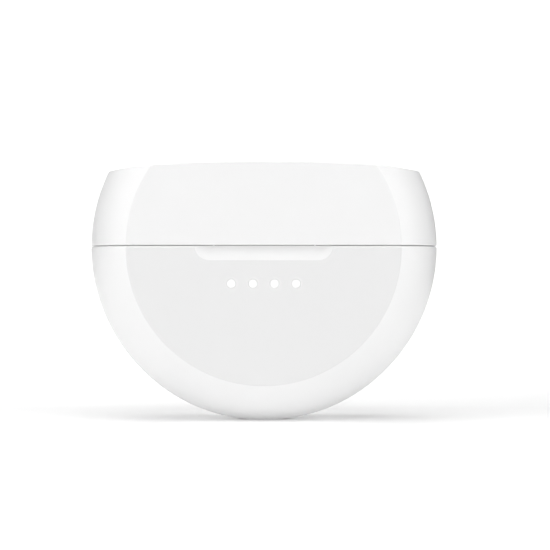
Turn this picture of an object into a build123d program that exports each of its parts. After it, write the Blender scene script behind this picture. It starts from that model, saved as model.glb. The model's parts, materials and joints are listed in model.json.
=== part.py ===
from build123d import *
import os
from math import asin, cos, degrees, radians, sin, sqrt, tan

# A pocket case that stores and charges a pair of wireless earbuds. Sizes are in millimetres.
# X runs along the case's width, Y from its front to its back and Z up.
# The origin is the middle of the small flat foot, with the lid shut.

# ---------------------------------------------------------------- outer form
CASE_R = 30.0  # the outline is one circle, cut off by the lid's crowned top
FOOT_CUT = 0.2  # taken off the bottom, for a flat foot
CENTRE_Z = CASE_R - FOOT_CUT
THICK = 25.0  # front to back, at the seam
FACE_R = 23.15  # the flat front and back faces; a rounded band runs round them
BODY_DRAFT = 0.4  # degrees that the faces lean in, away from the seam
LID_DRAFT = 0.5
WALL = 1.7
SEAM_Z = CENTRE_Z + 0.2
SEAM_GAP = 0.07
BODY_RIM = SEAM_Z - SEAM_GAP / 2
LID_RIM = SEAM_Z + SEAM_GAP / 2
BODY_RIM_ROUND = 0.45
LID_RIM_ROUND = 0.2
TOP_Z = CENTRE_Z + 15.1
TOP_FLAT_R = 350.0  # crown of the top along X, over its middle
TOP_FLAT_HALF = 15.0
TOP_SHOULDER_R = 61.0  # and nearer its ends
TOP_CROWN_R = 85.0  # crown of the top along Y
SHOULDER_Z = CENTRE_Z + 12.65  # the flat faces stop here and roll over into the top
SHOULDER_R = 1.5
SHOULDER_TURN = 70.0  # degrees turned before the roll runs straight into the crown
REACH = 40.0  # more than any half size, for cutters
BELOW, ABOVE = -1.0, TOP_Z + 3.0  # past the foot and past the top, for cutters
FACE_SPARE = 0.6  # how far the round form runs past the flat faces

HALF = THICK / 2
BAND_R = (HALF**2 + (CASE_R - FACE_R) ** 2) / (2 * (CASE_R - FACE_R))
BAND_CENTRE = CASE_R - BAND_R

# ---------------------------------------------------------------- thumb recess, lights, button, port
RECESS_HALF = 11.75  # half width at the rim
RECESS_DROP = 2.55
RECESS_DEPTH = 0.85
RECESS_BACKING = 0.9  # extra wall behind the recess
BACKING_SPREAD, BACKING_DROP, BACKING_SINK = 1.2, 0.8, 0.3  # how far that wall runs past it
LIGHT_Z = CENTRE_Z - 6.25
LIGHT_PITCH = 3.65
LIGHT_R = 0.71
LIGHT_HOLE_R = 0.74
LIGHT_INSET = 0.02  # of each light pipe behind the front face
LIGHT_XS = [(i - 1.5) * LIGHT_PITCH for i in range(4)]
PORT_W, PORT_H = 9.2, 3.5
COLLAR_WALL, COLLAR_Z0, COLLAR_Z1 = 1.2, 0.6, 3.2  # round the port, inside
RAIL_HALF, RAIL_GRIP, RAIL_TOP = 0.95, 0.9, 7.2  # slotted rails that hold the main board
RAIL_GAP = 0.05
CELL_RIB_X, CELL_RIB_HALF = 7.4, 0.6
POST_X, POST_Z, POST_R = 7.3, 22.0, 0.9  # posts that hold the light board

# ---------------------------------------------------------------- hinge
KNUCKLE_R = 1.25
HINGE_Y = HALF - KNUCKLE_R
HINGE_Z = SEAM_Z
HINGE_CLEAR = 0.3  # from the axis to each rim's rear bevel
HINGE_NOTCH_R = 1.55
HINGE_NOTCH_HALF = 9.2
PIN_R = 0.5
PIN_HALF = 8.8
PIN_SET = 0.01
PIN_RUN = 0.04
BODY_KNUCKLES = [(-8.9, -5.8), (-2.4, 2.4), (5.8, 8.9)]
LID_KNUCKLES = [(-5.5, -2.7), (2.7, 5.5)]
LEAF_Y0, LEAF_Y1 = 9.3, 9.9
LEAF_TAB_HALF = 4.6
LEAF_TAB_END = 8.0  # from the axis to the end of each leaf's tab
LEAF_STRIP = (0.9, 2.7)  # each leaf's cross strip, measured from the axis
WEB_RISE = (0.2, 1.2)  # what joins a knuckle to its leaf
LEAF_SCREW_X, LEAF_SCREW_RISE = 2.9, 5.6
SCREW_R, SCREW_HEAD_R, SCREW_HEAD_H, SCREW_LENGTH = 0.5, 0.95, 0.5, 2.3
SCREW_CLEAR = 0.1
PILOT_SPARE = 0.1  # how far a screw's hole runs past its end
CROSS_LENGTH, CROSS_WIDTH, CROSS_DEPTH = 1.1, 0.25, 0.25
LEAF_SIDE_GAP = 0.2
SKIRT_HALF, SKIRT_Y0, SKIRT_Y1, SKIRT_END = 4.8, 6.9, 9.25, 8.4

# ---------------------------------------------------------------- cradle and lid liner
PLATE_GAP = 0.15
PRESS_FIT = 0.01  # radial room for what is pressed or screwed in
MAGNET_FIT = 0.02
LEDGE, LEDGE_H = 0.8, 0.9
PLATE_Z0, PLATE_Z1 = 27.5, 29.0
LINER_Z0, LINER_Z1 = 30.7, 31.9
HEAD_X, HEAD_Y, HEAD_R, HEAD_Z = 12.6, 0.9, 7.9, 28.3
LID_HEAD_R, LID_HEAD_Z = 8.1, 31.3
STEM_X, STEM_Y, STEM_R, STEM_FLOOR = 13.0, -4.8, 3.4, 11.8
POCKET_WALL = 0.9
POCKET_EDGE = 0.4
MAGNET = (4.0, 1.4, 1.7)
MAGNET_X, MAGNET_Y = 4.4, -8.6
SOCKET_WALL = 0.5
POCKET_MAGNET = (1.6, 3.8, 3.0)
POCKET_MAGNET_X, POCKET_MAGNET_Z = 21.9, 25.9
POCKET_SOCKET_IN, POCKET_SOCKET_OUT, POCKET_SOCKET_HALF = 1.9, 1.2, 2.5  # about that magnet
POCKET_SOCKET_Z0 = 23.8

# ---------------------------------------------------------------- pairing button and its switch
BUTTON_Y = -4.2
BUTTON_R, BUTTON_GAP, BUTTON_PROUD = 2.2, 0.2, 0.15
BUTTON_FLANGE_R, BUTTON_FLANGE_H, BUTTON_STEM_R = 2.9, 0.6, 0.9
BUTTON_ROUND, BUTTON_REST_GAP = 0.3, 0.03
SWITCH_HALF, SWITCH_Z0, SWITCH_Z1 = 2.2, 22.4, 24.8
SWITCH_PLUNGER_R, SWITCH_PLUNGER_Z0, SWITCH_TOP = 0.75, 24.2, 25.6
SWITCH_PLUNGER_GAP, SWITCH_PLUNGER_ROOM = 0.05, 0.4

# ---------------------------------------------------------------- spring contacts
CONTACT_PITCH = 2.8
BARREL_R, BARREL_BORE, BARREL_MOUTH = 0.7, 0.5, 0.36
BARREL_Z0, BARREL_Z1, BARREL_FLOOR, BARREL_LIP = 9.0, 12.1, 0.3, 0.25
PLUNGER_R, PLUNGER_TIP_R, PLUNGER_TIP_ROUND = 0.46, 0.32, 0.2
PLUNGER_Z0, PLUNGER_NECK, PLUNGER_Z1 = 11.0, 11.8, 12.9
SPRING_R, SPRING_WIRE_R, SPRING_TURNS = 0.34, 0.07, 6

# ---------------------------------------------------------------- electronics
BOARD_Y0, BOARD_Y1 = -2.4, -1.6
BOARD_HALF, BOARD_Z0, BOARD_SHOULDER, BOARD_Z1, BOARD_NECK = 8.3, 3.4, 20.8, 25.0, 4.1
USB_Z0, USB_Z1 = 0.5, 7.8
USB_W, USB_H, USB_SKIN = 8.94, 3.2, 0.3
USB_BACK, USB_BLOCK = 1.2, 1.4  # solid metal at the back, then the tongue's moulded block
TONGUE_W, TONGUE_H, TONGUE_Z0 = 6.7, 0.7, 1.3
PAD_COUNT, PAD_PITCH, PAD_W, PAD_T, PAD_LENGTH, PAD_Z = 12, 0.5, 0.25, 0.04, 3.2, 3.3
LED_BOARD = (-7.6, 7.6, -8.6, -8.0, 21.3, 24.8)
LED_SIZE = (1.6, 0.6, 0.8)
HALL_SIZE, HALL_Z = (2.9, 0.9, 1.3), 23.9
GUIDE_HALF, GUIDE_H, GUIDE_Y, GUIDE_GAP = 6.3, 2.0, -9.9, 0.12
CELL = (-12.5, 12.5, 2.3, 8.9, 9.0, 19.0)
CELL_CORNER = 1.2
TAPE_HALF, TAPE_INSET, TAPE_T = 9.0, 0.8, 0.35
LEAD_R, LEAD_X, LEAD_Y, LEAD_RISE, LEAD_DROP = 0.35, 1.3, 4.4, 1.0, 1.5
CONTACT_BOARD_HALF, CONTACT_BOARD_FRONT, CONTACT_BOARD_BACK, CONTACT_BOARD_T = 2.4, 1.2, 1.6, 0.8
FLEX_T, FLEX_W = 0.12, 3.0
RIBBON_X0, RIBBON_X1, RIBBON_HALF = 6.0, 11.5, 0.8
PLUG_X1, PLUG_H = 7.2, 0.9
FLEX_LOOP_Z, FLEX_REAR_Z, FLEX_FRONT_Z = 19.0, 22.4, 20.6


# ================================================================ helpers
def block(x0, x1, y0, y1, z0, z1):
    """A box between two corners."""
    return Pos((x0 + x1) / 2, (y0 + y1) / 2, (z0 + z1) / 2) * Box(x1 - x0, y1 - y0, z1 - z0)


def centred(size, x, y, z):
    """A box of a given size about its middle."""
    return Pos(x, y, z) * Box(*size)


def rod(axis, radius, start, length):
    """A cylinder that starts at a point and runs along +X, +Y or +Z."""
    turn = {"x": Rot(0, 90, 0), "y": Rot(-90, 0, 0), "z": Rot(0, 0, 0)}[axis]
    return Pos(*start) * turn * Pos(0, 0, length / 2) * Cylinder(radius, length)


def prism_x(points, x0, x1):
    """An outline of (y, z) points, run from x0 to x1."""
    outline = make_face(Polyline(*[(x0, y, z) for y, z in points], close=True))
    return extrude(outline, amount=x1 - x0, dir=(1, 0, 0))


def slot_z(width, height, z0, z1):
    """A slot with round ends, standing along Z."""
    return extrude(Pos(0, 0, z0) * SlotOverall(width, height), amount=z1 - z0, dir=(0, 0, 1))


def together(pieces):
    """Several separate solids as one node."""
    return Compound(children=[solid for piece in pieces for solid in piece.solids()])


def edges_at(shape, z):
    """The edges that lie flat at one height."""
    return shape.edges().filter_by_position(Axis.Z, z - 0.01, z + 0.01)


# ================================================================ outer form
def disc(inset):
    """The round form whose edge is the band, inset all over by the same amount."""
    half = HALF + FACE_SPARE - inset
    radius = BAND_R - inset
    edge = BAND_CENTRE + sqrt(radius**2 - half**2)
    band = ThreePointArc((edge, -half), (BAND_CENTRE + radius, 0), (edge, half))
    sides = Polyline((edge, half), (0, half), (0, -half), (edge, -half))
    return Pos(0, 0, CENTRE_Z) * revolve(make_face([band, sides]), Axis.Y, 360)


def between_faces(inset, z0, z1, draft):
    """The space between the front and back faces, which lean in away from the seam."""
    h0, h1 = [HALF - inset - abs(z - SEAM_Z) * tan(radians(draft)) for z in (z0, z1)]
    return prism_x([(-h0, z0), (h0, z0), (h1, z1), (-h1, z1)], -REACH, REACH)


def body_form(inset, z1=BODY_RIM):
    return disc(inset) & between_faces(inset, BELOW, z1, BODY_DRAFT)


def lid_form(inset, z0=LID_RIM):
    return disc(inset) & between_faces(inset, z0, ABOVE, LID_DRAFT)


def rounded_column(z0, z1, rim, radius):
    """A column over the seam's outline with one end rounded, to round a rim with."""
    spare = 0.01
    edge = BAND_CENTRE + sqrt(BAND_R**2 - HALF**2) + spare
    half = HALF + spare
    reach = CASE_R + spare
    right = ThreePointArc((edge, -half), (reach, 0), (edge, half))
    left = ThreePointArc((-edge, half), (-reach, 0), (-edge, -half))
    outline = make_face([right, Line((edge, half), (-edge, half)), left, Line((-edge, -half), (edge, -half))])
    column = extrude(Pos(0, 0, z0) * outline, amount=z1 - z0, dir=(0, 0, 1))
    return fillet(edges_at(column, rim), radius)


def outer_body():
    column = rounded_column(0, BODY_RIM, BODY_RIM, BODY_RIM_ROUND)
    return disc(0) & column & between_faces(0, BELOW, BODY_RIM, BODY_DRAFT)


def outer_lid():
    column = rounded_column(LID_RIM, ABOVE, LID_RIM, LID_RIM_ROUND)
    form = disc(0) & column & between_faces(0, LID_RIM, ABOVE, LID_DRAFT)
    cutter = shoulder_cutter()
    return form - above_top(0) - cutter - mirror(cutter, Plane.XZ)


def crest_path():
    """The top's line along X: a nearly flat arc, tangent to a rounder one at each end."""
    lean = degrees(asin(TOP_FLAT_HALF / TOP_FLAT_R))
    middle = CenterArc((0, TOP_Z - TOP_FLAT_R), TOP_FLAT_R, 90 + lean, -2 * lean)
    offset = (TOP_FLAT_R - TOP_SHOULDER_R) * sin(radians(lean))
    height = TOP_Z - TOP_FLAT_R + (TOP_FLAT_R - TOP_SHOULDER_R) * cos(radians(lean))
    turn = 20
    left = CenterArc((-offset, height), TOP_SHOULDER_R, 90 + lean + turn, -turn)
    right = CenterArc((offset, height), TOP_SHOULDER_R, 90 - lean, -turn)
    return Plane.XZ * Wire([left, middle, right])


def above_top(drop):
    """Everything above the crowned top, which is a shallow arc across Y carried along X."""
    path = crest_path()
    wide, tall = HALF + 3, 8
    sag = wide**2 / (2 * TOP_CROWN_R)
    arc = ThreePointArc((-wide, -sag), (0, 0), (wide, -sag))
    rest = Polyline((wide, -sag), (wide, tall), (-wide, tall), (-wide, -sag))
    start = Plane(origin=path @ 0, x_dir=(0, 1, 0), z_dir=path % 0)
    return Pos(0, 0, -drop) * sweep(start * make_face([arc, rest]), path)


def shoulder_cutter():
    """What lies outside the rear face's roll into the top: an arc, then its tangent."""
    face_y = HALF - (SHOULDER_Z - SEAM_Z) * tan(radians(LID_DRAFT))
    centre_y = face_y - SHOULDER_R
    turn = radians(SHOULDER_TURN)
    mid = (centre_y + SHOULDER_R * cos(turn / 2), SHOULDER_Z + SHOULDER_R * sin(turn / 2))
    end = (centre_y + SHOULDER_R * cos(turn), SHOULDER_Z + SHOULDER_R * sin(turn))
    run = 6.0
    far = (end[0] - run * sin(turn), end[1] + run * cos(turn))
    outside = face_y + 2
    arc = ThreePointArc((face_y, SHOULDER_Z), mid, end)
    rest = Polyline(end, far, (outside, far[1]), (outside, SHOULDER_Z), (face_y, SHOULDER_Z))
    outline = Pos(-REACH, 0, 0) * (Plane.YZ * make_face([arc, rest]))
    return extrude(outline, amount=2 * REACH, dir=(1, 0, 0))


def rear_bevel(side):
    """What comes off a rim's rear edge so that the lid can swing back: side -1 body, +1 lid."""
    offset = HINGE_CLEAR * sqrt(2)
    run = 4
    near = (HINGE_Y - offset, HINGE_Z)
    far = (HINGE_Y + run, HINGE_Z + side * (run + offset))
    return prism_x([near, far, (HINGE_Y + run, HINGE_Z)], -REACH, REACH)


def hinge_notch():
    """The gap in both rear walls that the hinge's knuckles sit in."""
    return rod("x", HINGE_NOTCH_R, (-HINGE_NOTCH_HALF, HINGE_Y, HINGE_Z), 2 * HINGE_NOTCH_HALF)


def not_behind_hinge(y0):
    """A cutter that keeps rings and plates clear of the hinge's leaves."""
    half = HINGE_NOTCH_HALF + LEAF_SIDE_GAP
    return block(-half, half, y0, REACH, 0, REACH * 2)


def thumb_recess():
    """A scoop with round ends, deepest at the rim."""
    radius = (RECESS_DROP**2 + RECESS_DEPTH**2) / (2 * RECESS_DEPTH)
    y = -(HALF + radius - RECESS_DEPTH)
    half = RECESS_HALF - RECESS_DROP
    scoop = rod("x", radius, (-half, y, BODY_RIM), 2 * half)
    for x in (-half, half):
        scoop = scoop + Pos(x, y, BODY_RIM) * Sphere(radius)
    return scoop


# ================================================================ the body's shell
def base_shell():
    inside = body_form(WALL, BODY_RIM + 1)
    shell = outer_body() - inside
    shell = shell + base_ledge() + (shell_fittings() & body_form(WALL / 2, BODY_RIM))
    shell = shell + recess_backing()
    shell = shell - thumb_recess() - rear_bevel(-1) - hinge_notch()
    shell = shell - slot_z(PORT_W, PORT_H, BELOW, COLLAR_Z1 + 1)
    for x in LIGHT_XS:
        shell = shell - rod("y", LIGHT_HOLE_R, (x, -HALF - 1, LIGHT_Z), WALL + 2)
    return shell


def recess_backing():
    """Keeps the wall thick enough behind the thumb recess."""
    half = RECESS_HALF + BACKING_SPREAD
    wall_y = -(HALF - WALL)
    z0 = BODY_RIM - RECESS_DROP - BACKING_DROP
    return block(-half, half, wall_y - BACKING_SINK, wall_y + RECESS_BACKING, z0, BODY_RIM)


def base_ledge():
    """The step that the cradle's plate sits on."""
    ring = body_form(WALL / 2) - body_form(WALL + LEDGE, BODY_RIM + 1)
    ring = ring & block(-REACH, REACH, -REACH, REACH, PLATE_Z0 - LEDGE_H, PLATE_Z0)
    return ring - not_behind_hinge(0)


def shell_fittings():
    """Port collar, board rails, cell ribs and the posts that hold the light board."""
    parts = slot_z(PORT_W + 2 * COLLAR_WALL, PORT_H + 2 * COLLAR_WALL, COLLAR_Z0, COLLAR_Z1)
    slit_half = BOARD_HALF + 2 * RAIL_GAP
    slit = block(-slit_half, slit_half, BOARD_Y0 - RAIL_GAP, BOARD_Y1 + RAIL_GAP, BOARD_Z0, RAIL_TOP + 1)
    for side in (-1, 1):
        x = side * (BOARD_HALF + RAIL_GAP)
        y0, y1 = BOARD_Y0 - RAIL_GRIP, BOARD_Y1 + RAIL_GRIP
        parts = parts + block(x - RAIL_HALF, x + RAIL_HALF, y0, y1, 0, RAIL_TOP)
        x = side * CELL_RIB_X
        y0, y1 = CELL[2] + 0.3, CELL[3] - 0.4
        parts = parts + block(x - CELL_RIB_HALF, x + CELL_RIB_HALF, y0, y1, 0, CELL[4] - TAPE_T)
        post_y = -HALF + 0.5
        parts = parts + rod("y", POST_R, (side * POST_X, post_y, POST_Z), LED_BOARD[2] - post_y)
    return parts - slit


# ================================================================ the cradle that holds the earbuds
def pockets(head_r, stem_r, floor, top):
    """Both sides' pocket shapes: a ball for the head and a tube for the stem."""
    shape = None
    for side in (-1, 1):
        ball = Pos(side * HEAD_X, HEAD_Y, HEAD_Z) * Sphere(head_r)
        tube = rod("z", stem_r, (side * STEM_X, STEM_Y, floor), top - floor)
        both = ball + tube
        shape = both if shape is None else shape + both
    return shape & block(-REACH, REACH, -REACH, REACH, 0, top)


def magnet_socket(z0, z1):
    """The walls round both catch magnets."""
    w, d = MAGNET[0] / 2 + SOCKET_WALL, MAGNET[1] / 2 + SOCKET_WALL
    shape = None
    for x in (-MAGNET_X, MAGNET_X):
        one = block(x - w, x + w, MAGNET_Y - d, MAGNET_Y + d, z0, z1)
        shape = one if shape is None else shape + one
    return shape


def magnets(z, gap=0.0):
    size = [MAGNET[0] + 2 * gap, MAGNET[1] + 2 * gap, MAGNET[2] + 2 * gap]
    return [centred(size, x, MAGNET_Y, z) for x in (-MAGNET_X, MAGNET_X)]


def pocket_magnets(gap=0.0):
    size = [value + 2 * gap for value in POCKET_MAGNET]
    return [centred(size, side * POCKET_MAGNET_X, HEAD_Y, POCKET_MAGNET_Z) for side in (-1, 1)]


BASE_MAGNET_Z = PLATE_Z0 - MAGNET[2] / 2
LID_MAGNET_Z = LINER_Z1 + MAGNET[2] / 2


def cradle():
    plate = body_form(WALL + PLATE_GAP, PLATE_Z1)
    plate = plate & block(-REACH, REACH, -REACH, REACH, PLATE_Z0, PLATE_Z1)
    front = RECESS_HALF + BACKING_SPREAD + 0.3
    plate = plate - block(-front, front, -REACH, -(HALF - WALL - RECESS_BACKING) + PLATE_GAP, 0, REACH)
    shape = plate + pockets(HEAD_R + POCKET_WALL, STEM_R + POCKET_WALL, STEM_FLOOR - 1, PLATE_Z1)
    shape = shape + magnet_socket(PLATE_Z0 - MAGNET[2], PLATE_Z0)
    skirt_end = HINGE_Z - SKIRT_END
    shape = shape + block(-SKIRT_HALF, SKIRT_HALF, SKIRT_Y0, SKIRT_Y1, skirt_end, PLATE_Z1)
    for side in (-1, 1):
        inner, outer = POCKET_MAGNET_X - POCKET_SOCKET_IN, POCKET_MAGNET_X + POCKET_SOCKET_OUT
        x0, x1 = sorted((side * inner, side * outer))
        y0, y1 = HEAD_Y - POCKET_SOCKET_HALF, HEAD_Y + POCKET_SOCKET_HALF
        shape = shape + block(x0, x1, y0, y1, POCKET_SOCKET_Z0, PLATE_Z0)
    shape = shape - pockets(HEAD_R, STEM_R, STEM_FLOOR, PLATE_Z1 + 1)
    shape = shape - not_behind_hinge(SKIRT_Y1)
    shape = shape - rod("z", BUTTON_R + BUTTON_GAP, (0, BUTTON_Y, PLATE_Z0 - 1), 4)
    for x, y in contact_spots():
        shape = shape - rod("z", BARREL_R + PRESS_FIT, (x, y, STEM_FLOOR - 2), 4)
    for magnet in magnets(BASE_MAGNET_Z, MAGNET_FIT) + pocket_magnets(MAGNET_FIT):
        shape = shape - magnet
    for x, z in leaf_screw_spots(-1):
        shape = shape - screw_pilot(x, z)
    return shape


# ================================================================ the lid
def lid_shell():
    inside = lid_form(WALL, LID_RIM - 1) - above_top(WALL)
    shell = outer_lid() - inside
    ring = lid_form(WALL / 2) - lid_form(WALL + LEDGE, LID_RIM - 1)
    ring = ring & block(-REACH, REACH, -REACH, REACH, LINER_Z1, LINER_Z1 + LEDGE_H)
    shell = shell + (ring - not_behind_hinge(0))
    return shell - rear_bevel(1) - hinge_notch()


def lid_domes(radius):
    shape = None
    for side in (-1, 1):
        ball = Pos(side * HEAD_X, HEAD_Y, LID_HEAD_Z) * Sphere(radius)
        shape = ball if shape is None else shape + ball
    return shape & block(-REACH, REACH, -REACH, REACH, LINER_Z0, REACH * 2)


def lid_liner():
    plate = lid_form(WALL + PLATE_GAP, LINER_Z0)
    shape = plate & block(-REACH, REACH, -REACH, REACH, LINER_Z0, LINER_Z1)
    shape = shape + lid_domes(LID_HEAD_R + POCKET_WALL)
    shape = shape + magnet_socket(LINER_Z1, LINER_Z1 + MAGNET[2])
    shape = shape + block(-SKIRT_HALF, SKIRT_HALF, SKIRT_Y0, SKIRT_Y1, LINER_Z0, HINGE_Z + SKIRT_END)
    shape = shape - lid_domes(LID_HEAD_R) - not_behind_hinge(SKIRT_Y1)
    for magnet in magnets(LID_MAGNET_Z, MAGNET_FIT):
        shape = shape - magnet
    for x, z in leaf_screw_spots(1):
        shape = shape - screw_pilot(x, z)
    return shape


# ================================================================ hinge
def screw_pilot(x, z):
    """The hole that a leaf's screw bites into."""
    length = SCREW_LENGTH + PILOT_SPARE
    return rod("y", SCREW_R + PRESS_FIT, (x, LEAF_Y1 - length, z), length)


def leaf_screw_spots(side):
    return [(x, HINGE_Z + side * LEAF_SCREW_RISE) for x in (-LEAF_SCREW_X, LEAF_SCREW_X)]


def hinge_leaf(side, knuckles, bore_r):
    """One leaf: a strip and a screwed tab, with webs out to its knuckles. Side -1 body, +1 lid."""
    def span(near, far):
        return sorted((HINGE_Z + side * near, HINGE_Z + side * far))

    half = max(end for _, end in knuckles)
    leaf = block(-half, half, LEAF_Y0, LEAF_Y1, *span(*LEAF_STRIP))
    leaf = leaf + block(-LEAF_TAB_HALF, LEAF_TAB_HALF, LEAF_Y0, LEAF_Y1, *span(LEAF_STRIP[0], LEAF_TAB_END))
    for x0, x1 in knuckles:
        leaf = leaf + block(x0, x1, LEAF_Y0, HINGE_Y, *span(*WEB_RISE))
        leaf = leaf + rod("x", KNUCKLE_R, (x0, HINGE_Y, HINGE_Z), x1 - x0)
    leaf = leaf - rod("x", bore_r, (-REACH, HINGE_Y, HINGE_Z), 2 * REACH)
    for x, z in leaf_screw_spots(side):
        leaf = leaf - rod("y", SCREW_R + SCREW_CLEAR, (x, LEAF_Y0 - 1, z), 3)
    return leaf


def hinge_pin():
    return rod("x", PIN_R, (-PIN_HALF, HINGE_Y, HINGE_Z), 2 * PIN_HALF)


def leaf_screws(side):
    screws = []
    for x, z in leaf_screw_spots(side):
        shank = rod("y", SCREW_R, (x, LEAF_Y1 - SCREW_LENGTH, z), SCREW_LENGTH)
        head = rod("y", SCREW_HEAD_R, (x, LEAF_Y1, z), SCREW_HEAD_H)
        top = LEAF_Y1 + SCREW_HEAD_H
        cross = centred((CROSS_LENGTH, 2 * CROSS_DEPTH, CROSS_WIDTH), x, top, z)
        cross = cross + centred((CROSS_WIDTH, 2 * CROSS_DEPTH, CROSS_LENGTH), x, top, z)
        screws.append(shank + head - cross)
    return together(screws)


# ================================================================ spring contacts
def contact_spots():
    half = CONTACT_PITCH / 2
    return [(side * STEM_X + dx, STEM_Y) for side in (-1, 1) for dx in (-half, half)]


def contact_barrels():
    barrels = []
    for x, y in contact_spots():
        barrel = rod("z", BARREL_R, (x, y, BARREL_Z0), BARREL_Z1 - BARREL_Z0)
        floor = BARREL_Z0 + BARREL_FLOOR
        barrel = barrel - rod("z", BARREL_BORE, (x, y, floor), BARREL_Z1 - BARREL_LIP - floor)
        barrels.append(barrel - rod("z", BARREL_MOUTH, (x, y, floor), BARREL_Z1 - floor + 1))
    return together(barrels)


def contact_plunger(x, y):
    foot = rod("z", PLUNGER_R, (x, y, PLUNGER_Z0), PLUNGER_NECK - PLUNGER_Z0)
    tip = rod("z", PLUNGER_TIP_R, (x, y, PLUNGER_Z0), PLUNGER_Z1 - PLUNGER_Z0)
    tip = fillet(edges_at(tip, PLUNGER_Z1), PLUNGER_TIP_ROUND)
    return foot + tip


def contact_spring(x, y):
    z0 = BARREL_Z0 + BARREL_FLOOR + SPRING_WIRE_R
    height = PLUNGER_Z0 - SPRING_WIRE_R - z0
    coil = Helix(pitch=height / SPRING_TURNS, height=height, radius=SPRING_R)
    start = Plane(origin=coil @ 0, z_dir=coil % 0)
    wire = sweep(start * Circle(SPRING_WIRE_R), coil, is_frenet=True)
    return Pos(x, y, z0) * wire


# ================================================================ pairing button
def button_cap():
    top = PLATE_Z1 + BUTTON_PROUD
    flange_top = PLATE_Z0 - BUTTON_REST_GAP
    cap = rod("z", BUTTON_R, (0, BUTTON_Y, flange_top - 0.1), top - flange_top + 0.1)
    cap = fillet(edges_at(cap, top), BUTTON_ROUND)
    cap = cap + rod("z", BUTTON_FLANGE_R, (0, BUTTON_Y, flange_top - BUTTON_FLANGE_H), BUTTON_FLANGE_H)
    return cap + rod("z", BUTTON_STEM_R, (0, BUTTON_Y, SWITCH_TOP), flange_top - SWITCH_TOP)


def switch_body():
    body = block(-SWITCH_HALF, SWITCH_HALF, 2 * BUTTON_Y - BOARD_Y0, BOARD_Y0, SWITCH_Z0, SWITCH_Z1)
    floor = SWITCH_PLUNGER_Z0 - SWITCH_PLUNGER_ROOM
    return body - rod("z", SWITCH_PLUNGER_R + SWITCH_PLUNGER_GAP, (0, BUTTON_Y, floor), SWITCH_Z1 - floor + 1)


def switch_plunger():
    return rod("z", SWITCH_PLUNGER_R, (0, BUTTON_Y, SWITCH_PLUNGER_Z0), SWITCH_TOP - SWITCH_PLUNGER_Z0)


# ================================================================ electronics
def main_board():
    board = block(-BOARD_HALF, BOARD_HALF, BOARD_Y0, BOARD_Y1, BOARD_Z0, BOARD_SHOULDER)
    return board + block(-BOARD_NECK, BOARD_NECK, BOARD_Y0, BOARD_Y1, BOARD_Z0, BOARD_Z1)


def board_chips():
    """Chips on both sides as (width, thickness, height, x, z), and a row of small parts."""
    front = [(4.0, 0.8, 4.0, 0.0, 12.0), (3.0, 1.1, 3.0, 5.4, 12.2), (2.0, 0.6, 2.0, -5.2, 14.6)]
    rear = [(3.0, 0.7, 3.0, -3.6, 13.5), (2.0, 0.6, 2.0, 3.4, 12.0), (1.6, 0.6, 0.8, 3.4, 15.2)]
    chips = [centred((w, t, h), x, BOARD_Y0 - t / 2, z) for w, t, h, x, z in front]
    chips += [centred((w, t, h), x, BOARD_Y1 + t / 2, z) for w, t, h, x, z in rear]
    count, pitch, size = 5, 1.7, (0.5, 0.5, 1.0)
    for i in range(count):
        x = (i - (count - 1) / 2) * pitch
        chips.append(centred(size, x, BOARD_Y0 - size[1] / 2, 9.2))
    return together(chips)


def usb_shell():
    outer = slot_z(USB_W, USB_H, USB_Z0, USB_Z1)
    return outer - slot_z(USB_W - 2 * USB_SKIN, USB_H - 2 * USB_SKIN, USB_Z0 - 1, USB_Z1 - USB_BACK)


def usb_tongue():
    back = USB_Z1 - USB_BACK
    tongue = block(-TONGUE_W / 2, TONGUE_W / 2, -TONGUE_H / 2, TONGUE_H / 2, TONGUE_Z0, back)
    inner = slot_z(USB_W - 2 * USB_SKIN, USB_H - 2 * USB_SKIN, back - USB_BLOCK, back)
    return tongue + inner


def usb_contacts():
    """Two rows of thin pads, one on each side of the tongue."""
    pads = []
    for side in (-1, 1):
        for i in range(PAD_COUNT):
            x = (i - (PAD_COUNT - 1) / 2) * PAD_PITCH
            pads.append(centred((PAD_W, PAD_T, PAD_LENGTH), x, side * (TONGUE_H + PAD_T) / 2, PAD_Z))
    return together(pads)


def led_board():
    x0, x1, y0, y1, z0, z1 = LED_BOARD
    return block(x0, x1, y0, y1, z0, z1)


def leds():
    return together([centred(LED_SIZE, x, LED_BOARD[2] - LED_SIZE[1] / 2, LIGHT_Z) for x in LIGHT_XS])


def hall_sensor():
    return centred(HALL_SIZE, 0, LED_BOARD[3] + HALL_SIZE[1] / 2, HALL_Z)


def light_guide():
    """A bar behind the front wall with a round pipe out to each light hole."""
    wall_y = -(HALF - WALL) + GUIDE_GAP
    guide = block(-GUIDE_HALF, GUIDE_HALF, wall_y, GUIDE_Y, LIGHT_Z - GUIDE_H / 2, LIGHT_Z + GUIDE_H / 2)
    for x in LIGHT_XS:
        pipe = rod("y", LIGHT_R, (x, -HALF - 1, LIGHT_Z), HALF + 1 + GUIDE_Y)
        guide = guide + (pipe & body_form(LIGHT_INSET))
    return guide


def battery_cell():
    cell = block(*CELL)
    return fillet(cell.edges().filter_by(Axis.Z), CELL_CORNER)


def battery_tape():
    y0, y1 = CELL[2] + TAPE_INSET, CELL[3] - TAPE_INSET
    return block(-TAPE_HALF, TAPE_HALF, y0, y1, CELL[4] - TAPE_T, CELL[4])


def lead(x):
    """A wire that loops from the cell's top over to the main board's rear."""
    top = CELL[5] + LEAD_RISE
    y0, y1 = LEAD_Y, BOARD_Y1 + LEAD_R
    mid, half = (y0 + y1) / 2, (y0 - y1) / 2
    up = Line((x, y0, CELL[5]), (x, y0, top))
    over = ThreePointArc((x, y0, top), (x, mid, top + half), (x, y1, top))
    down = Line((x, y1, top), (x, y1, CELL[5] - LEAD_DROP))
    path = Wire([up, over, down])
    return sweep(Plane(origin=path @ 0, z_dir=path % 0) * Circle(LEAD_R), path)


def battery_leads():
    return together([lead(-LEAD_X), lead(LEAD_X)])


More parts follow.
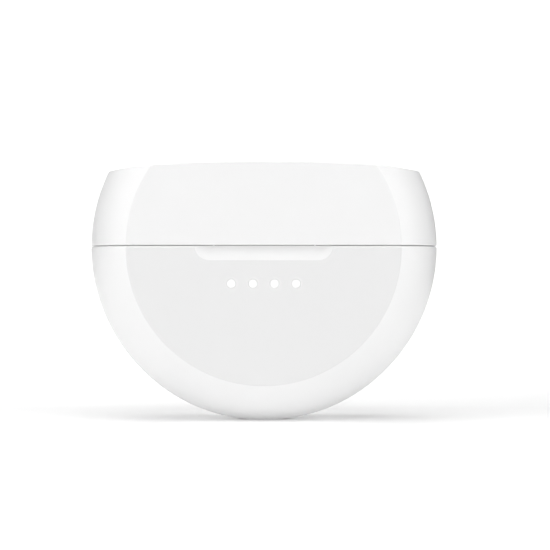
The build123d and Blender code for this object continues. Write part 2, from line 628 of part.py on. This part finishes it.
def contact_boards():
    boards = []
    for side in (-1, 1):
        x = side * STEM_X
        y0, y1 = STEM_Y - CONTACT_BOARD_FRONT, STEM_Y + CONTACT_BOARD_BACK
        z0 = BARREL_Z0 - CONTACT_BOARD_T
        boards.append(block(x - CONTACT_BOARD_HALF, x + CONTACT_BOARD_HALF, y0, y1, z0, BARREL_Z0))
    return together(boards)


def contact_flexes():
    """A ribbon from under each contact board, in to a plug on the main board's front."""
    top = BARREL_Z0 - CONTACT_BOARD_T
    y0 = STEM_Y - RIBBON_HALF
    ribbons = []
    for side in (-1, 1):
        x0, x1 = sorted((side * RIBBON_X0, side * RIBBON_X1))
        ribbon = block(x0, x1, y0, STEM_Y + RIBBON_HALF, top - FLEX_T, top)
        x0, x1 = sorted((side * RIBBON_X0, side * PLUG_X1))
        plug = block(x0, x1, y0, BOARD_Y0, top - PLUG_H, top - FLEX_T)
        ribbons.append(ribbon + plug)
    return together(ribbons)


def led_flex():
    """A looped ribbon from the light board's rear face down and up to the main board's front."""
    y0, y1 = LED_BOARD[3], BOARD_Y0
    mid, half = (y0 + y1) / 2, (y1 - y0) / 2
    z_loop, z0, z1 = FLEX_LOOP_Z, FLEX_REAR_Z, FLEX_FRONT_Z
    outer = ThreePointArc((y0, z_loop), (mid, z_loop - half), (y1, z_loop))
    inner = ThreePointArc((y0 + FLEX_T, z_loop), (mid, z_loop - half + FLEX_T), (y1 - FLEX_T, z_loop))
    left = Polyline((y0, z_loop), (y0, z0), (y0 + FLEX_T, z0), (y0 + FLEX_T, z_loop))
    right = Polyline((y1, z_loop), (y1, z1), (y1 - FLEX_T, z1), (y1 - FLEX_T, z_loop))
    outline = Pos(-FLEX_W / 2, 0, 0) * (Plane.YZ * make_face([outer, left, inner, right]))
    return extrude(outline, amount=FLEX_W, dir=(1, 0, 0))


# ================================================================ write every node
def all_nodes():
    nodes = {
        "base_shell": base_shell(),
        "cradle": cradle(),
        "light_guide": light_guide(),
        "led_board": led_board(),
        "status_leds": leds(),
        "hall_sensor": hall_sensor(),
        "led_flex": led_flex(),
        "main_board": main_board(),
        "board_chips": board_chips(),
        "tact_switch": switch_body(),
        "usb_receptacle_shell": usb_shell(),
        "usb_receptacle_tongue": usb_tongue(),
        "usb_receptacle_contacts": usb_contacts(),
        "battery_cell": battery_cell(),
        "battery_tape": battery_tape(),
        "battery_leads": battery_leads(),
        "contact_boards": contact_boards(),
        "contact_flexes": contact_flexes(),
        "contact_barrels": contact_barrels(),
        "base_magnets": together(magnets(BASE_MAGNET_Z)),
        "pocket_magnets": together(pocket_magnets()),
        "base_hinge_leaf": hinge_leaf(-1, BODY_KNUCKLES, PIN_R + PIN_SET),
        "hinge_pin": hinge_pin(),
        "base_hinge_screws": leaf_screws(-1),
        "lid_shell": lid_shell(),
        "lid_liner": lid_liner(),
        "lid_magnets": together(magnets(LID_MAGNET_Z)),
        "lid_hinge_leaf": hinge_leaf(1, LID_KNUCKLES, PIN_R + PIN_RUN),
        "lid_hinge_screws": leaf_screws(1),
        "pairing_button": button_cap(),
        "switch_plunger": switch_plunger(),
    }
    for i, (x, y) in enumerate(contact_spots()):
        nodes[f"contact_plunger_{i + 1}"] = contact_plunger(x, y)
        nodes[f"contact_spring_{i + 1}"] = contact_spring(x, y)
    return nodes


os.makedirs("parts", exist_ok=True)
for name, shape in all_nodes().items():
    export_step(shape, f"parts/{name}.step")
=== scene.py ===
import json
import math

import bpy
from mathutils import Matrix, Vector


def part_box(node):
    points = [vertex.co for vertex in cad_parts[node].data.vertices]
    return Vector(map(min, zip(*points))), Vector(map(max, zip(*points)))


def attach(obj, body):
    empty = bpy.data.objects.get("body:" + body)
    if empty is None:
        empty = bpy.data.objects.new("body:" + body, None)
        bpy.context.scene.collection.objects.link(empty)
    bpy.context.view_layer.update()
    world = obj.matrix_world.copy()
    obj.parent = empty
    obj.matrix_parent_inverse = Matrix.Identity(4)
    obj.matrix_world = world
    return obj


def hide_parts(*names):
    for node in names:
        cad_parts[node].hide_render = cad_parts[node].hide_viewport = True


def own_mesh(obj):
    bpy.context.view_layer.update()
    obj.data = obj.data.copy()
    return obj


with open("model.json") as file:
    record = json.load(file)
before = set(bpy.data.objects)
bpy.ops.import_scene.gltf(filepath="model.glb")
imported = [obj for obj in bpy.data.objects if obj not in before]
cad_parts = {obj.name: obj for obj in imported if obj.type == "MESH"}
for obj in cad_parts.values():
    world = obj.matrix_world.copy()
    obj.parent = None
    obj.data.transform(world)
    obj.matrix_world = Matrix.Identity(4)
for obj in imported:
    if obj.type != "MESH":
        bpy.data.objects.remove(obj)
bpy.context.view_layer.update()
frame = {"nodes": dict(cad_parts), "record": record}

nodes = frame["nodes"]
MM = 0.001
BODY_LOW, BODY_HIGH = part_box("base_shell")
LID_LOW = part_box("lid_shell")[0]
WIDTH = BODY_HIGH[0] - BODY_LOW[0]
DEPTH = BODY_HIGH[1] - BODY_LOW[1]
SEAM_Z = (BODY_HIGH[2] + LID_LOW[2]) / 2
LIGHTS_LOW, LIGHTS_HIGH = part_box("status_leds")
LIGHT_Z = (LIGHTS_LOW[2] + LIGHTS_HIGH[2]) / 2
LIGHT_COUNT = 4
LED_WIDTH = 1.6 * MM
LIGHT_PITCH = (LIGHTS_HIGH[0] - LIGHTS_LOW[0] - LED_WIDTH) / (LIGHT_COUNT - 1)
FACE_LEAN = 0.0079  # how far the faces lean in per unit of height, away from the seam
FACE_EDGE = (0.03 * MM, 0.07 * MM)  # how far behind the face its painted shade starts and ends fading out
LIGHT_XS = [(i - (LIGHT_COUNT - 1) / 2) * LIGHT_PITCH for i in range(LIGHT_COUNT)]
CONTACT_COUNT = 4


# ---------------------------------------------------------------- material helpers
class Nodes:
    """A material's node tree, with short ways to add nodes and link them."""

    def __init__(self, name):
        self.material = bpy.data.materials.new(name)
        self.material.use_nodes = True
        self.tree = self.material.node_tree
        self.shader = self.tree.nodes["Principled BSDF"]
        self.coords = self.add("ShaderNodeTexCoord").outputs["Object"]

    def add(self, kind, links=(), **values):
        node = self.tree.nodes.new(kind)
        for key, value in values.items():
            setattr(node, key, value)
        for socket, source in dict(links).items():
            self.put(node, socket, source)
        return node

    def put(self, node, socket, source):
        """A number or colour sets the socket; an output is linked to it."""
        if isinstance(source, bpy.types.NodeSocket):
            self.tree.links.new(source, node.inputs[socket])
        else:
            node.inputs[socket].default_value = source

    def set(self, **values):
        for socket, source in values.items():
            self.put(self.shader, socket.replace("_", " "), source)

    def noise(self, scale, detail=3.0, roughness=0.5, stretch=(1, 1, 1)):
        moved = self.add("ShaderNodeMapping", {"Vector": self.coords, "Scale": stretch})
        links = {"Vector": moved.outputs[0], "Scale": scale, "Detail": detail, "Roughness": roughness}
        return self.add("ShaderNodeTexNoise", links).outputs["Fac"]

    def remap(self, value, low, high, start=0.0, end=1.0):
        links = {"Value": value, "From Min": start, "From Max": end, "To Min": low, "To Max": high}
        return self.add("ShaderNodeMapRange", links).outputs["Result"]

    def mix(self, factor, first, second):
        node = self.add("ShaderNodeMix", data_type="RGBA")
        self.put(node, 0, factor)
        self.put(node, 6, (*first, 1) if isinstance(first, tuple) else first)
        self.put(node, 7, (*second, 1) if isinstance(second, tuple) else second)
        return node.outputs[2]

    def math(self, operation, first, second=0.0):
        return self.add("ShaderNodeMath", {0: first, 1: second}, operation=operation).outputs[0]

    def rounded(self, radius):
        """Softens the shading across hard edges."""
        node = self.add("ShaderNodeBevel", {"Radius": radius})
        node.samples = 8
        return node.outputs["Normal"]

    def bump(self, height, distance, normal=None):
        links = {"Height": height, "Distance": distance, "Strength": 1.0}
        if normal is not None:
            links["Normal"] = normal
        return self.add("ShaderNodeBump", links).outputs["Normal"]


def face_shade_mask(m):
    """1 on the flat front and back faces of both shells, where the painted shade goes, 0 on the band and in
    the thumb recess.
    """
    parts = m.add("ShaderNodeSeparateXYZ", {"Vector": m.coords})
    rise = m.math("ABSOLUTE", m.math("SUBTRACT", parts.outputs["Z"], SEAM_Z))
    lean = m.math("MULTIPLY", rise, FACE_LEAN)
    plane = m.math("SUBTRACT", DEPTH / 2, lean)
    below = m.math("SUBTRACT", plane, m.math("ABSOLUTE", parts.outputs["Y"]))
    return m.remap(below, 1.0, 0.0, *FACE_EDGE)


def vary(colour, amount):
    """The same colour, darker by that share."""
    return tuple(max(0.0, channel * (1 - amount)) for channel in colour)


MOTTLE_DEPTH = 0.012  # how much darker the mottling makes a colour
ROUGHNESS_SPREAD = 0.025


def plastic(name, colour, roughness, edge=0.25 * MM, grain=0.0012 * MM, glow=None, face=None):
    """Moulded plastic with faint mottling, a fine grain and softened edges. face colours the flat faces
    with painted shade.
    """
    m = Nodes(name)
    mottle = m.noise(180, 2)
    shade = m.mix(mottle, vary(colour, MOTTLE_DEPTH), colour)
    # Painted shade: the flat faces get the darker face colour, and the band and the thumb recess the
    # lighter one.
    if face is not None:
        shade = m.mix(face_shade_mask(m), shade, m.mix(mottle, vary(face, MOTTLE_DEPTH), face))
    m.set(Base_Color=shade)
    fine = m.noise(9000, 2, 0.6)
    m.set(Roughness=m.remap(m.noise(700, 3), roughness - ROUGHNESS_SPREAD, roughness + ROUGHNESS_SPREAD))
    m.set(Normal=m.bump(fine, grain, m.rounded(edge)))
    m.set(IOR=1.47, Specular_IOR_Level=0.4)
    if glow is not None:
        glow(m)
    return m.material


def metal(name, colour, roughness, grain_stretch=(1, 1, 1), edge=0.08 * MM):
    """Bare metal with a fine grain, which can run one way, and a slightly uneven colour."""
    m = Nodes(name)
    grain = m.noise(5000, 3, 0.6, grain_stretch)
    m.set(Metallic=1.0)
    m.set(Base_Color=m.mix(m.noise(600, 3), vary(colour, 0.08), colour))
    m.set(Roughness=m.remap(grain, roughness - 0.07, roughness + 0.09))
    m.set(Normal=m.bump(grain, 0.0015 * MM, m.rounded(edge)))
    return m.material


def laminate(name, mask_colour, pad_colour):
    """A circuit board: solder mask over tracks, with small bare pads scattered over it."""
    m = Nodes(name)
    links = {"Vector": m.coords, "Scale": 520.0}
    tracks = m.add("ShaderNodeTexVoronoi", links, feature="DISTANCE_TO_EDGE", distance="CHEBYCHEV")
    track = m.remap(tracks.outputs["Distance"], 1.0, 0.0, 0.06, 0.10)
    pads = m.add("ShaderNodeTexVoronoi", {"Vector": m.coords, "Scale": 900.0})
    pad = m.remap(pads.outputs["Distance"], 1.0, 0.0, 0.10, 0.14)
    raised = tuple(min(1.0, channel * 1.9) for channel in mask_colour)
    masked = m.mix(track, mask_colour, raised)
    m.set(Base_Color=m.mix(pad, masked, pad_colour))
    m.set(Metallic=m.math("MULTIPLY", pad, 0.9))
    m.set(Roughness=m.remap(m.noise(1500), 0.28, 0.40))
    m.set(Normal=m.bump(track, 0.012 * MM))
    return m.material


def foil(name):
    """The battery's laminated pouch: creased aluminium foil."""
    m = Nodes(name)
    crease = m.noise(700, 6, 0.65)
    m.set(Metallic=0.85, Base_Color=m.mix(crease, (0.62, 0.62, 0.64), (0.78, 0.78, 0.79)))
    m.set(Roughness=m.remap(crease, 0.26, 0.42))
    m.set(Normal=m.bump(crease, 0.05 * MM, m.rounded(0.3 * MM)))
    return m.material


def foam(name):
    """Black foam tape with fine cells."""
    m = Nodes(name)
    cells = m.add("ShaderNodeTexVoronoi", {"Vector": m.coords, "Scale": 6000.0}).outputs["Distance"]
    m.set(Base_Color=m.mix(cells, (0.03, 0.03, 0.03), (0.09, 0.09, 0.09)), Roughness=0.95)
    m.set(Normal=m.bump(cells, 0.04 * MM))
    return m.material


def film(name):
    """A flexible circuit: amber film with parallel tracks."""
    m = Nodes(name)
    links = {"Vector": m.coords, "Scale": 420.0, "Distortion": 0.0}
    bands = m.add("ShaderNodeTexWave", links, bands_direction="X").outputs["Fac"]
    line = m.remap(bands, 0.0, 1.0, 0.55, 0.65)
    m.set(Base_Color=m.mix(line, (0.30, 0.12, 0.015), (0.55, 0.27, 0.05)))
    m.set(Roughness=m.remap(m.noise(900), 0.22, 0.34))
    m.set(Normal=m.bump(line, 0.01 * MM))
    return m.material


def sleeve(name):
    """Silicone wire sleeves, red on the left and black on the right."""
    m = Nodes(name)
    x = m.add("ShaderNodeSeparateXYZ", {"Vector": m.coords}).outputs["X"]
    side = m.math("GREATER_THAN", x, 0.0)
    m.set(Base_Color=m.mix(side, (0.42, 0.015, 0.012), (0.015, 0.015, 0.016)))
    m.set(Roughness=m.remap(m.noise(2500), 0.42, 0.58))
    return m.material


def lit(name, colour, strength):
    """A lit diffuser, very slightly uneven."""
    m = Nodes(name)
    m.set(Base_Color=(0.95, 0.95, 0.95, 1), Roughness=m.remap(m.noise(2500), 0.3, 0.4))
    m.set(Emission_Color=m.mix(m.noise(1500), vary(colour, 0.02), colour), Emission_Strength=strength)
    return m.material


def halo(m):
    """Light from the four status lights that bleeds through the front wall round each hole."""
    parts = m.add("ShaderNodeSeparateXYZ", {"Vector": m.coords})
    x, y, z = parts.outputs["X"], parts.outputs["Y"], parts.outputs["Z"]
    total = 0.0
    for light_x in LIGHT_XS:
        dx = m.math("SUBTRACT", x, light_x)
        dz = m.math("SUBTRACT", z, LIGHT_Z)
        distance = m.math("SQRT", m.math("ADD", m.math("MULTIPLY", dx, dx), m.math("MULTIPLY", dz, dz)))
        near = m.remap(distance, 1.0, 0.0, HALO_START, HALO_END)
        total = m.math("ADD", m.math("POWER", near, HALO_FALLOFF), total)
    front = m.math("LESS_THAN", y, -DEPTH * HALO_DEPTH)
    m.set(Emission_Color=(1, 1, 1, 1))
    m.set(Emission_Strength=m.math("MULTIPLY", m.math("MULTIPLY", total, front), HALO_STRENGTH))


# ---------------------------------------------------------------- finishes
HALO_START = 0.7 * MM
HALO_END = 1.3 * MM
HALO_STRENGTH = 0.06
HALO_FALLOFF = 2.2
HALO_DEPTH = 0.45  # the halo stays in front of this share of the depth
# Painted light and shade: the flat faces are painted greyer than the band and the thumb recess, and the
# body's face greyer than the lid's, in place of the light that falls on them.
BAND_WHITE = (0.855, 0.855, 0.855)
LID_FACE_PAINTED_SHADE = (0.840, 0.840, 0.840)
BODY_FACE_PAINTED_SHADE = (0.780, 0.780, 0.780)
CRADLE_WHITE = (0.80, 0.80, 0.80)


def finishes():
    """A material for each slot in the record, and one for the lid, whose face is painted lighter than the
    body's.
    """
    steel = (0.62, 0.61, 0.60)
    return {
        # The shell's and the lid's materials carry painted shade on their faces, the lid's lighter than the
        # body's.
        "shell_plastic": plastic("shell white painted shade", BAND_WHITE, 0.36, glow=halo, face=BODY_FACE_PAINTED_SHADE),
        "lid_plastic_painted_shade": plastic("lid white painted shade", BAND_WHITE, 0.36, face=LID_FACE_PAINTED_SHADE),
        "cradle_plastic": plastic("cradle white", CRADLE_WHITE, 0.48, grain=0.002 * MM),
        "light_guide_plastic": lit("lit guide", (1.0, 1.0, 1.0), 0.05),
        "led_package": lit("led", (1.0, 0.97, 0.9), 3.0),
        "board_laminate": laminate("board", (0.006, 0.05, 0.028), (0.80, 0.58, 0.25)),
        "chip_plastic": plastic("moulding compound", (0.022, 0.022, 0.024), 0.5, 0.05 * MM, 0.003 * MM),
        "flex_film": film("flexible circuit"),
        "switch_steel": metal("switch steel", steel, 0.34, (1, 1, 12)),
        "receptacle_steel": metal("receptacle steel", steel, 0.25, (1, 1, 10)),
        "gold_plate": metal("gold plate", (0.95, 0.68, 0.28), 0.22),
        "cell_foil": foil("cell foil"),
        "foam_tape": foam("foam tape"),
        "lead_sleeve": sleeve("lead sleeve"),
        "magnet_nickel": metal("nickel plate", (0.66, 0.64, 0.60), 0.2),
        "hinge_steel": metal("hinge steel", (0.60, 0.60, 0.61), 0.3, (12, 1, 1)),
        "screw_steel": metal("screw steel", (0.42, 0.42, 0.43), 0.33),
    }


def paint():
    """Gives each node its slot's material, and the lid's shell its own, with a face painted lighter than
    the body's.
    """
    made = finishes()
    for part in frame["record"]["subparts"]:
        obj = nodes[part["node"]]
        obj.data.materials.clear()
        slot = "lid_plastic_painted_shade" if part["node"] == "lid_shell" else part["material_slot"]
        obj.data.materials.append(made[slot])


paint()


# ---------------------------------------------------------------- contact springs
def soft_springs():
    """Each contact spring is swapped for a copy with its own mesh, fixed to the base."""
    for number in range(1, CONTACT_COUNT + 1):
        source = nodes[f"contact_spring_{number}"]
        coil = source.copy()
        coil.data = source.data.copy()
        coil.parent = None
        coil.name = f"contact_coil_{number}"
        bpy.context.scene.collection.objects.link(coil)
        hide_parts(source.name)
        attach(coil, "base")
        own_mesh(coil)


soft_springs()


# ---------------------------------------------------------------- stage, light and camera
FLOOR_GLOW = 0.03
WALL_GLOW = 0.58
NEAR_GLOW = 0.15
GLOW_RISE = (0.03, 0.22)  # how far behind the case the floor's glow grows to the wall's
NEAR_FADE = (0.008, 0.03)  # how far out the extra glow under the case fades
BACKDROP_REACH = 1.2
BACKDROP_FRONT = -0.9
BACKDROP_BACK = 0.5
BACKDROP_BEND = 0.25
BACKDROP_TOP = 0.9
BEND_STEPS = 12


def backdrop_profile():
    """Where the floor runs back, bends and rises as the wall, as places in Y and Z."""
    bend = BACKDROP_BEND
    start = BACKDROP_BACK - bend
    profile = [(BACKDROP_FRONT, 0.0), (start, 0.0)]
    for step in range(1, BEND_STEPS + 1):
        turn = math.pi / 2 * step / BEND_STEPS
        profile.append((start + bend * math.sin(turn), bend - bend * math.cos(turn)))
    profile.append((BACKDROP_BACK, BACKDROP_TOP))
    return profile


def backdrop_paper():
    """Pale paper that glows: least on the floor, more close to the case and most on the wall."""
    m = Nodes("backdrop paper")
    m.set(Base_Color=m.mix(m.noise(40), (0.93, 0.93, 0.93), (0.95, 0.95, 0.95)), Roughness=0.9)
    behind = m.add("ShaderNodeSeparateXYZ", {"Vector": m.coords}).outputs["Y"]
    glow = m.remap(behind, FLOOR_GLOW, WALL_GLOW, *GLOW_RISE)
    away = m.add("ShaderNodeVectorMath", {0: m.coords}, operation="LENGTH").outputs["Value"]
    glow = m.math("ADD", glow, m.remap(away, NEAR_GLOW, 0.0, *NEAR_FADE))
    m.set(Specular_IOR_Level=0.1, Emission_Color=(1, 1, 1, 1), Emission_Strength=glow)
    return m.material


def stage():
    """A pale floor that curves up into a wall behind."""
    profile = backdrop_profile()
    points = [(x, y, z) for y, z in profile for x in (-BACKDROP_REACH, BACKDROP_REACH)]
    faces = [(2 * i, 2 * i + 1, 2 * i + 3, 2 * i + 2) for i in range(len(profile) - 1)]
    mesh = bpy.data.meshes.new("backdrop")
    mesh.from_pydata(points, [], faces)
    for face in mesh.polygons:
        face.use_smooth = True
    sweep = bpy.data.objects.new("backdrop", mesh)
    bpy.context.scene.collection.objects.link(sweep)
    mesh.materials.append(backdrop_paper())


FLAG_FAR = 0.46
FLAG_TOP = 0.45
FLAGS = {  # how far to the side each card stands, and where its near edge is
    "flag_right": (0.13, 0.0),
    "flag_left": (-0.2, 0.04),
}


def flag(name, x, near):
    """A dark card at one side that shades that edge of the case. The camera doesn't see it."""
    points = [(x, near, 0.0), (x, FLAG_FAR, 0.0), (x, FLAG_FAR, FLAG_TOP), (x, near, FLAG_TOP)]
    mesh = bpy.data.meshes.new(name)
    mesh.from_pydata(points, [], [(0, 1, 2, 3)])
    card = bpy.data.objects.new(name, mesh)
    bpy.context.scene.collection.objects.link(card)
    m = Nodes(name + " felt")
    m.set(Base_Color=m.mix(m.noise(300), (0.02, 0.02, 0.02), (0.04, 0.04, 0.04)), Roughness=0.95)
    mesh.materials.append(m.material)
    card.visible_camera = False


def softbox(name, place, size, aim_height, power):
    """A soft rectangular light aimed at a height over the middle of the case."""
    light = bpy.data.lights.new(name, "AREA")
    light.shape = "RECTANGLE"
    light.size, light.size_y = size
    light.energy = power
    obj = bpy.data.objects.new(name, light)
    obj.location = place
    aim = Vector((0, 0, aim_height)) - Vector(place)
    obj.rotation_euler = aim.to_track_quat("-Z", "Y").to_euler()
    bpy.context.scene.collection.objects.link(obj)


def add_side(tree, axes, direction, gain, so_far):
    """The light so far plus what comes from one side, which fades out at right angles to it."""
    axis, sign = direction
    facing = tree.nodes.new("ShaderNodeMath")
    facing.operation = "MULTIPLY"
    facing.use_clamp = True
    tree.links.new(axes[axis], facing.inputs[0])
    facing.inputs[1].default_value = sign
    total = tree.nodes.new("ShaderNodeMath")
    total.operation = "MULTIPLY_ADD"
    tree.links.new(facing.outputs[0], total.inputs[0])
    total.inputs[1].default_value = gain
    if isinstance(so_far, bpy.types.NodeSocket):
        tree.links.new(so_far, total.inputs[2])
    else:
        total.inputs[2].default_value = so_far
    return total.outputs[0]


def surroundings():
    """A white studio that is brighter on some sides."""
    world = bpy.data.worlds.new("studio")
    world.use_nodes = True
    tree = world.node_tree
    coords = tree.nodes.new("ShaderNodeTexCoord").outputs["Generated"]
    split = tree.nodes.new("ShaderNodeSeparateXYZ")
    tree.links.new(coords, split.inputs[0])
    total = ALL_ROUND
    for direction, gain in SIDE_GAINS.items():
        total = add_side(tree, split.outputs, direction, gain, total)
    tree.links.new(total, tree.nodes["Background"].inputs["Strength"])
    tree.nodes["Background"].inputs["Color"].default_value = (1, 1, 1, 1)
    bpy.context.scene.world = world


ALL_ROUND = 0.27
SIDE_GAINS = {  # the front, then the right
    ("Y", -1): 0.30,
    ("X", 1): 0.13,
}
SOFTBOXES = {  # place, size, the height it aims at, and power
    "front_high": ((0.0, -0.42, 0.24), (0.9, 0.4), 0.24, 0.32),
    "front_top": ((0.0, -0.30, 0.50), (0.6, 0.3), SEAM_Z, 0.97),
    "left_side": ((-0.5, -0.12, 0.16), (0.3, 0.4), SEAM_Z, 0.72),
    "right_side": ((0.5, -0.12, 0.16), (0.3, 0.4), SEAM_Z, 0.59),
    "overhead": ((0.0, 0.05, 0.6), (0.6, 0.3), SEAM_Z, 1.82),
}


def lights():
    surroundings()
    for name, (place, size, aim_height, power) in SOFTBOXES.items():
        softbox(name, place, size, aim_height, power)


CAMERA_SIDE = WIDTH * 0.0317
CAMERA_BACK = 0.380
CAMERA_DROP = 5.0 * MM
CAMERA_LENS = 143
CAMERA_SENSOR = 36


def camera():
    """Level, a little below the seam and almost straight in front."""
    data = bpy.data.cameras.new("camera")
    data.sensor_width = CAMERA_SENSOR
    data.lens = CAMERA_LENS
    data.clip_start = 0.01
    data.clip_end = 10
    obj = bpy.data.objects.new("camera", data)
    obj.location = (CAMERA_SIDE, -CAMERA_BACK, SEAM_Z - CAMERA_DROP)
    obj.rotation_euler = (math.pi / 2, 0, 0)
    bpy.context.scene.collection.objects.link(obj)
    bpy.context.scene.camera = obj


stage()
for flag_name, (flag_x, flag_near) in FLAGS.items():
    flag(flag_name, flag_x, flag_near)
lights()
camera()
bpy.context.scene.view_settings.view_transform = "Standard"
